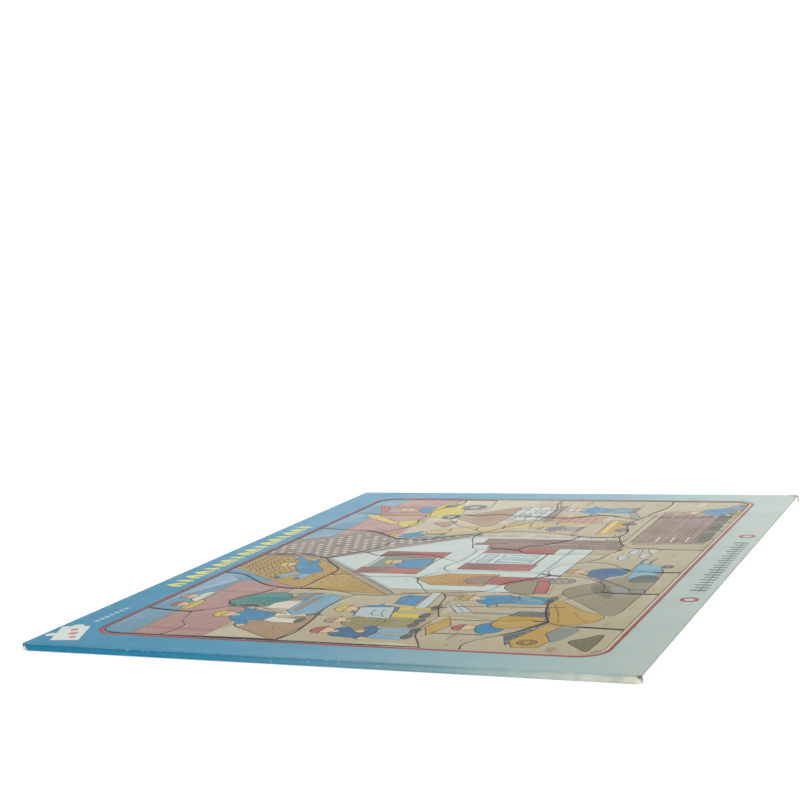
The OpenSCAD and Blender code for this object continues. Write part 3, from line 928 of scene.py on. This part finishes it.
def extrude_down(bm, layers, edges, levels, outlines, slot, colour, corner=None):
    """Carries a boundary down through (inset, z, rim) levels, in mm. Gives the last boundary.
    With corner, a square corner's place, the insets are measured from the square outline."""
    ink_layer, rim_layer = layers
    inset_before = 0.0
    for inset, z, rim in levels:
        made = bmesh.ops.extrude_edge_only(bm, edges=edges)["geom"]
        verts = [g for g in made if isinstance(g, bmesh.types.BMVert)]
        ring = set(verts)
        edges = [g for g in made if isinstance(g, bmesh.types.BMEdge) and ring.issuperset(g.verts)]
        flat = [(v.co.x / MM, v.co.y / MM) for v in verts]
        _, out = distance_to(outlines, flat)
        for v, side in zip(verts, out):
            v.co.x -= side[0] * (inset - inset_before) * MM
            v.co.y -= side[1] * (inset - inset_before) * MM
            if corner:
                most = [(c - inset) * MM for c in corner]
                v.co.x = max(-most[0], min(most[0], v.co.x))
                v.co.y = max(-most[1], min(most[1], v.co.y))
            v.co.z = z * MM
            v[rim_layer] = rim
        for face in [g for g in made if isinstance(g, bmesh.types.BMFace)]:
            face.smooth = True
            face.material_index = slot
            for loop in face.loops:
                loop[ink_layer] = colour
        inset_before = inset
    return edges


def boundary(bm):
    return [e for e in bm.edges if e.is_boundary]


def in_order(edges):
    """The vertices of a closed boundary, one after the other."""
    left = set(edges)
    vertex = edges[0].verts[0]
    ring = []
    while left:
        edge = next(e for e in vertex.link_edges if e in left)
        left.remove(edge)
        ring.append(vertex)
        vertex = edge.other_vert(vertex)
    return ring


def close_bottom(bm, edges, outline, bevel, slot):
    """Fills the level hole inside a boundary that runs along the outline, with a bevelled rim (mm)."""
    ring = in_order(edges)
    points = [(v.co.x / MM, v.co.y / MM) for v in ring]
    if area(points) < 0:
        ring.reverse()
        points.reverse()
    count = len(ring)
    points += grown(outline, -bevel)
    faces = [list(range(count)), list(range(count, len(points)))]
    places, _, tris, own, _, insides = delaunay_2d_cdt([Vector(p) for p in points], [], faces, 0, 1e-6, True)
    depth, _ = distance_to([outline], places)
    level = ring[0].co.z
    verts = []
    for p, i, d in zip(places, own, depth):
        if i and min(i) < count:
            verts.append(ring[min(i)])
        else:
            verts.append(bm.verts.new((p.x * MM, p.y * MM, level - min(d, bevel) * MM)))
    for tri, inside_of in zip(tris, insides):
        if 0 in inside_of:
            face = bm.faces.new([verts[i] for i in reversed(tri)])
            face.material_index = slot
            face.smooth = False


# ---- materials


class Nodes:
    """Short hand for building a material's node tree."""

    def __init__(self, name):
        self.material = bpy.data.materials.new(name)
        self.material.use_nodes = True
        self.tree = self.material.node_tree
        self.shader = self.tree.nodes["Principled BSDF"]

    def add(self, kind, **values):
        node = self.tree.nodes.new("ShaderNode" + kind)
        sockets = values.pop("sockets", {})
        for key, value in values.items():
            setattr(node, key, value)
        for key, value in sockets.items():
            self.put(node.inputs[key], value)
        return node

    def put(self, socket, value):
        if isinstance(value, bpy.types.NodeSocket):
            self.tree.links.new(value, socket)
        else:
            socket.default_value = value

    def surface(self, sockets):
        """Sets or links the shader's own sockets."""
        for name, value in sockets.items():
            self.put(self.shader.inputs[name], value)

    def place(self):
        return self.add("TexCoord").outputs["Object"]

    def noise(self, scale, detail=2.0, rough=0.5, at=None):
        node = self.add("TexNoise", sockets={
            "Vector": at or self.place(), "Scale": scale, "Detail": detail, "Roughness": rough})
        return node.outputs["Fac"]

    def math(self, operation, a, b=0.0, clamp=False):
        node = self.add("Math", operation=operation, use_clamp=clamp, sockets={0: a, 1: b})
        return node.outputs[0]

    def times(self, a, b, clamp=False):
        return self.math("MULTIPLY", a, b, clamp)

    def axes(self, vector):
        return self.add("SeparateXYZ", sockets={0: vector}).outputs

    def span(self, value, low, high, to_low=0.0, to_high=1.0):
        node = self.add("MapRange", sockets={
            "Value": value, "From Min": low, "From Max": high, "To Min": to_low, "To Max": to_high})
        return node.outputs["Result"]

    def mix(self, share, a, b, blend="MIX"):
        node = self.add("Mix", data_type="RGBA", blend_type=blend, sockets={0: share, 6: a, 7: b})
        return node.outputs[2]

    def bump(self, height, strength, distance, normal=None):
        sockets = {"Height": height, "Strength": strength, "Distance": distance}
        if normal:
            sockets["Normal"] = normal
        return self.add("Bump", sockets=sockets).outputs["Normal"]


BOARD_GREY = (0.30, 0.27, 0.23, 1.0)
LIT_WHITE_PAPER = (0.91, 0.915, 0.9, 1.0)
BOARD_DARK = (0.14, 0.125, 0.11, 1.0)
DIRT_AND_SHADE = (0.06, 0.045, 0.04, 1.0)


def varnished_print(name, ground=None, wear=1.0, dirt_and_shade=0.0, tone=1.0):
    """Printed and varnished paper. ground makes the tint under the shapes, wear is how rubbed it is
    along its edges, dirt_and_shade how dark its rolled edges get from grime and painted shade, and tone how
    light the ink is."""
    n = Nodes(name)
    mark = n.add("Attribute", attribute_name="ink")
    rim = n.add("Attribute", attribute_name="rim").outputs["Fac"]
    colour = mark.outputs["Color"]
    if ground:
        colour = n.mix(mark.outputs["Alpha"], ground(n), colour)
    # Uneven ink, and the fine grain of the printed dots
    patches = n.noise(45, 3)
    thin, thick = [tone * share for share in (0.93, 1.06)]
    colour = n.mix(1.0, colour, n.mix(patches, (thin, thin, thin, 1), (thick, thick, thick, 1)), "MULTIPLY")
    dots = n.noise(3200, 1)
    colour = n.mix(0.5, colour, n.mix(dots, (0.8, 0.8, 0.82, 1), (1.18, 1.18, 1.16, 1)), "MULTIPLY")
    # Dust and scratches
    specks = n.add("TexVoronoi", sockets={"Vector": n.place(), "Scale": 130.0})
    speck = n.span(specks.outputs["Distance"], 0.045, 0.03)
    speck = n.times(speck, n.span(n.noise(60, 1), 0.52, 0.62))
    colour = n.mix(n.times(speck, 0.6), colour, PAPER)
    # Ink and paper rubbed off along the edges
    rub = n.times(rim, n.span(n.noise(420, 4, 0.65), 0.62 - 0.08 * wear, 0.74 - 0.08 * wear))
    colour = n.mix(n.times(rub, 0.6 * wear, True), colour, PAPER)
    # Darkening in the rolled edges along the cuts, heavy along some stretches: grime, and painted shade of
    # the gaps between pieces
    cut = n.span(rim, 0.55, 0.85)
    grime_and_shade = n.times(cut, n.span(n.noise(30, 3, 0.6), 0.42, 0.6, 0.2, 1.0))
    colour = n.mix(n.times(grime_and_shade, dirt_and_shade, True), colour, DIRT_AND_SHADE)
    varnish = n.span(n.noise(160, 3), 0.3, 0.7, 0.24, 0.3)
    grain = n.bump(n.noise(1400, 3), 0.12, 0.0002)
    wave = n.bump(n.noise(28, 2), 0.35, 0.0012, grain)
    n.surface({"Base Color": colour, "Roughness": 0.7, "Specular IOR Level": 0.0,
               "Coat Weight": n.times(varnish, n.math("SUBTRACT", 1.0, rub)), "Coat Roughness": 0.2,
               "Normal": wave, "Coat Normal": wave})
    return n


def cover_ground(n):
    """The tint of the cover sheet, from blue at the top of the picture to pale green-grey."""
    sweep = n.math("ADD", n.axes(n.place())["Y"], n.times(n.noise(9, 2), 0.008))
    ramp = n.add("ValToRGB")
    n.put(ramp.inputs[0], n.span(sweep, -TRAY_W / 2 * MM, TRAY_W / 2 * MM))
    stops = ((0.0, ink(178, 188, 179)), (0.22, ink(152, 178, 178)), (0.45, ink(122, 160, 177)),
             (0.68, ink(94, 148, 174)), (1.0, ink(83, 142, 170)))
    for i, (place, tint) in enumerate(stops):
        stop = ramp.color_ramp.elements[i] if i < 2 else ramp.color_ramp.elements.new(place)
        stop.position = place
        stop.color = tint
    return ramp.outputs["Color"]


def cover_material():
    n = varnished_print("cover_print", cover_ground, 0.6, 0.25)
    place = n.axes(n.place())
    facing = n.axes(n.add("NewGeometry").outputs["Normal"])
    # The four corners are knocked through to the paper, and then to the board
    away = n.add("VectorMath", operation="ABSOLUTE", sockets={0: n.place()}).outputs[0]
    frayed = n.times(n.noise(320, 4, 0.6), -0.004)
    worn = []
    for height in (0.4, TRAY_TOP):
        corner = (TRAY_L / 2 * MM, TRAY_W / 2 * MM, height * MM)
        gap = n.add("VectorMath", operation="DISTANCE", sockets={0: away, 1: corner})
        worn.append(n.math("ADD", frayed, gap.outputs["Value"]))
    torn, knocked = worn
    base = n.shader.inputs["Base Color"].links[0].from_socket
    # The paper of the fold is bare and cream along the pale end of the near edge
    fold = n.span(n.math("ABSOLUTE", facing["Z"]), 0.55, 0.25)
    along = place["Y"]
    # The sides of the fold are mottled a brighter blue towards the blue end
    mottled_fold = n.mix(n.span(n.noise(70, 4, 0.7), 0.4, 0.7, 0.0, 0.25), base, ink(88, 162, 192))
    base = n.mix(n.times(fold, n.span(along, -0.05, 0.03)), base, mottled_fold)
    # Painted shade on the sides of the fold: they are multiplied darker than the top, keep a full deep colour
    # towards the blue end, and are darkest just below the corner of the fold
    fold_shade = n.mix(n.span(along, -0.08, 0.05), (0.86, 0.88, 0.86, 1), (0.7, 0.8, 0.82, 1))
    fold_shade = n.mix(n.span(place["Z"], 0.0014, 0.0021, 0.0, 0.35), fold_shade, (0.4, 0.5, 0.55, 1))
    base = n.mix(fold, base, fold_shade, "MULTIPLY")
    # A painted highlight along the rounded corner of the fold, a pale line broken up by noise
    fold_highlight = n.times(n.span(facing["Z"], 0.4, 0.6), n.span(facing["Z"], 0.99, 0.92))
    fold_highlight = n.times(fold_highlight, n.span(n.noise(90, 4, 0.7), 0.35, 0.7, 0.1, 0.55))
    base = n.mix(fold_highlight, base, ink(150, 166, 174))
    bare = n.times(n.span(along, -0.05, -0.12), n.span(n.noise(150, 4, 0.6), 0.35, 0.6, 0.45, 1.0))
    base = n.mix(n.times(fold, n.times(bare, 0.75)), base, CREAM_PAPER)
    # The side of the fold below the picture, facing -Y, is painted almost white: a painted highlight, as if
    # overlit, so it fades into the white backdrop
    base = n.mix(n.span(facing["Y"], -0.75, -0.95), base, LIT_WHITE_PAPER)
    base = n.mix(n.span(torn, 0.0004, -0.0002), base, CREAM_PAPER)
    # The far corners are the most worn
    knocked = n.math("SUBTRACT", knocked, n.span(place["X"], 0.1, 0.15, -0.0004, 0.003))
    base = n.mix(n.span(knocked, 0.0003, -0.0003), base, BOARD_DARK)
    n.surface({"Base Color": base})
    return n.material


def board_material(name, layered):
    """Raw grey board, with its fibres, and its layers where it is cut."""
    n = Nodes(name)
    place = n.place()
    scale = (1, 1, 14) if layered else (1, 1, 1)
    squash = n.add("Mapping", sockets={"Vector": place, "Scale": scale})
    fibre = n.noise(700, 4, 0.65, squash.outputs[0])
    flecks = n.noise(1800, 2, 0.6, place)
    colour = n.mix(n.span(fibre, 0.3, 0.7), BOARD_DARK, BOARD_GREY)
    colour = n.mix(n.span(flecks, 0.62, 0.72, 0, 0.5), colour, (0.5, 0.47, 0.42, 1))
    colour = n.mix(n.span(n.noise(900, 2, 0.5, place), 0.68, 0.74, 0, 0.6), colour, (0.09, 0.08, 0.08, 1))
    n.surface({"Base Color": colour, "Roughness": 0.95, "Specular IOR Level": 0.2,
               "Normal": n.bump(fibre, 0.5, 0.0003)})
    return n.material


def paper_material():
    """Plain uncoated backing paper."""
    n = Nodes("backing_paper")
    cloud = n.noise(90, 4, 0.6)
    colour = n.mix(cloud, (0.66, 0.65, 0.61, 1), (0.74, 0.735, 0.70, 1))
    scuff = n.span(n.noise(40, 5, 0.7), 0.6, 0.75, 0, 0.35)
    colour = n.mix(scuff, colour, (0.42, 0.40, 0.37, 1))
    n.surface({"Base Color": colour, "Roughness": 0.85, "Normal": n.bump(n.noise(1500, 3), 0.25, 0.0002)})
    return n.material


piece_print = varnished_print("piece_print", None, 0.45, 0.8, 0.86).material
cover_print = cover_material()
cut_board = board_material("cut_board", True)
flat_board = board_material("flat_board", False)
backing_paper = paper_material()

# ---- the loose pieces

CUT_R = 0.12  # tight rounding at a cut
ROLL = 0.1  # how far the board is pressed down along a cut
ROLL_W = 1.6  # how far in from the cut
BEVEL = 0.1  # along the bottom edge of a piece
BOARD_T = 1.26  # a piece's thickness, a little less than the room it has, because it lies aslant
ASLANT = 0.12  # how far a piece's rim rises and sinks
EDGE_RINGS = (0.04, CUT_R, 0.4, 0.9, ROLL_W)
RUBBED_W = 0.9  # how far in from a cut the print is rubbed
MILD_RIM_BELOW = 1 - window_y
MILD_RIM_LEFT = 1 - window_x
FIRST_SEED = 2640


def pressed(d):
    """How far the surface lies below the flat of the board, at distance d from a cut."""
    return rounding(d, CUT_R) + ROLL * (1 - np.clip(d / ROLL_W, 0, 1)) ** 2


def puzzle_piece(node, seed):
    outline = grown(piece_outline(node), 0)
    points, tris, colours = coloured_face([outline], [], picture, GROUND, EDGE_RINGS)
    d, _ = distance_to([outline], points)
    rims = np.clip(1.05 - d / RUBBED_W, 0, 1)
    # The cut along the foot of the picture, and the lower part of the near side, has its rim halved: less
    # rubbing, grime and painted shade there
    rims *= [0.5 if y < MILD_RIM_BELOW or (x < MILD_RIM_LEFT and y < 0) else 1 for x, y in points]
    bm, layers = face_mesh(points, tris, colours, PIECE_TOP - pressed(d), rims)
    rim_z = PIECE_TOP - CUT_R - ROLL
    edges = extrude_down(bm, layers, boundary(bm), ((0.0, rim_z - 0.1, 0.5),), [outline], 0, PAPER)
    wall_low = PIECE_TOP - BOARD_T + BEVEL
    edges = extrude_down(bm, layers, edges, ((0.0, wall_low, 0.0),), [outline], 1, BOARD_GREY)
    close_bottom(bm, edges, outline, BEVEL, 1)
    # Each piece lies a little aslant
    pick = random.Random(seed)
    way = pick.uniform(0, 2 * math.pi)
    dip = Vector((math.cos(way), math.sin(way), 0))
    reach = [v.co @ dip for v in bm.verts]
    middle, half = (max(reach) + min(reach)) / 2, (max(reach) - min(reach)) / 2
    for v in bm.verts:
        v.co.z -= ASLANT * MM * (1 + (v.co @ dip - middle) / half)
    piece = mesh_object("picture_" + node, bm, [piece_print, cut_board])
    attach(piece, node)
    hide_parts(node)


for count, node in enumerate(PIECES):
    puzzle_piece(node, FIRST_SEED + count)

# ---- the cover sheet

FOLD_R = 0.5
TRAY_R = 1.5
TURN_IN = 15.0  # width of the strip that is turned in underneath
BETWEEN = 5.0  # this far out from the window lies neither its edge nor the tray's


def tray_outline(inset):
    return round_box(TRAY_L - 2 * inset, TRAY_W - 2 * inset, max(TRAY_R - inset, 0.05), 8)


def cover():
    outer = tray_outline(0)
    hole = grown(WINDOW, 0)
    points, tris, colours = coloured_face([outer], [hole], border, NO_INK, EDGE_RINGS)
    d_out, _ = distance_to([outer], points)
    d_in, _ = distance_to([hole], points)
    heights = TRAY_TOP - rounding(d_out, FOLD_R) - pressed(d_in)
    rims = np.clip(1.1 - np.minimum(d_out, d_in) / RUBBED_W, 0, 1)
    bm, layers = face_mesh(points, tris, colours, heights, rims)
    edges = boundary(bm)
    limits = (window_x + BETWEEN) * MM, (window_y + BETWEEN) * MM
    far = [e for e in edges if any(abs(c) > limit for c, limit in zip(e.verts[0].co, limits))]
    near = [e for e in edges if e not in set(far)]
    mid = (TRAY_TOP + TURN_IN_Z) / 2
    levels = ((0.0, mid + 0.4, 0.25), (0.0, mid - 0.4, 0.25), (0.0, TURN_IN_Z + 0.3, 0.7),
              (0.0, TURN_IN_Z + 0.03, 0.9), (0.02, TURN_IN_Z, 0.6))
    flap = ((0.0, TURN_IN_Z, 0.1), (0.0, TURN_IN_Z + SHEET_T, 0.0))
    fold = extrude_down(bm, layers, far, levels, [outer], 0, NO_INK)
    inner = (TRAY_L / 2 - TURN_IN, TRAY_W / 2 - TURN_IN)
    extrude_down(bm, layers, fold, flap, [outer], 0, NO_INK, inner)
    bmesh.ops.remove_doubles(bm, verts=bm.verts, dist=1e-7)
    extrude_down(bm, layers, near, ((0.0, TRAY_TOP - CUT_R - ROLL - 0.02, 0.6),), [hole], 0, PAPER)
    sheet = mesh_object("cover_print_sheet", bm, [cover_print])
    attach(sheet, "tray")
    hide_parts("cover_sheet")


cover()

BOARDS = {"frame_board": cut_board, "base_board": flat_board, "backing_sheet": backing_paper}
for node, material in BOARDS.items():
    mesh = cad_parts[node].data
    mesh.materials.clear()
    mesh.materials.append(material)

# ---- floor, light and camera


def stage():
    size = 6.0
    mesh = bpy.data.meshes.new("floor")
    drop = -0.00001  # just clear of the underside
    corners = [(-size, -size, drop), (size, -size, drop), (size, size, drop), (-size, size, drop)]
    mesh.from_pydata(corners, [], [(0, 1, 2, 3)])
    n = Nodes("floor")
    n.surface({"Base Color": (0.93, 0.93, 0.93, 1), "Roughness": 0.9, "Specular IOR Level": 0.1,
               "Emission Color": (1, 1, 1, 1), "Emission Strength": 0.22})
    mesh.materials.append(n.material)
    floor = linked("floor", mesh)


def lamp(name, place, aim, power, size, size_y=None):
    """A square or oblong soft box, turned towards aim."""
    light = bpy.data.lights.new(name, "AREA")
    light.energy = power
    light.size = size
    if size_y:
        light.shape = "RECTANGLE"
        light.size_y = size_y
    lamp_object = linked(name, light)
    lamp_object.location = place
    lamp_object.rotation_euler = (Vector(aim) - Vector(place)).to_track_quat("-Z", "Y").to_euler()
    return lamp_object


def lights():
    world = bpy.data.worlds.new("studio")
    world.use_nodes = True
    background = world.node_tree.nodes["Background"]
    background.inputs["Color"].default_value = (1, 1, 1, 1)
    background.inputs["Strength"].default_value = 1.06
    bpy.context.scene.world = world
    lamp("key", (-2.0, 3.5, 6.0), (0, 0, 0), 25.0, 4.0)
    lamp("fill", (-5.0, -2.0, 1.5), (0, 0, 0), 75.0, 3.0)
    # A low soft box behind the far edge, which the varnish mirrors
    length, height, radiance = 3.4, 0.32, 2.2
    power = math.pi * length * height * radiance
    back = lamp("back", (1.5, 0.3, 0.17), (0.5, 0.3, 0.17), power, length, height)
    back.visible_camera = False


def camera():
    data = bpy.data.cameras.new("camera")
    data.sensor_width = 36
    data.lens = 70.57
    data.clip_start = 0.01
    eye = linked("camera", data)
    place = (-0.6345, -0.2471, 0.1490)
    look = Vector((0.9129, 0.3935, -0.1082))
    roll = math.radians(-3.75)
    turn = look.to_track_quat("-Z", "Y").to_matrix().to_4x4() @ Matrix.Rotation(roll, 4, "Z")
    eye.matrix_world = Matrix.Translation(place) @ turn
    bpy.context.scene.camera = eye


bpy.context.scene.view_settings.view_transform = "Standard"
stage()
lights()
camera()
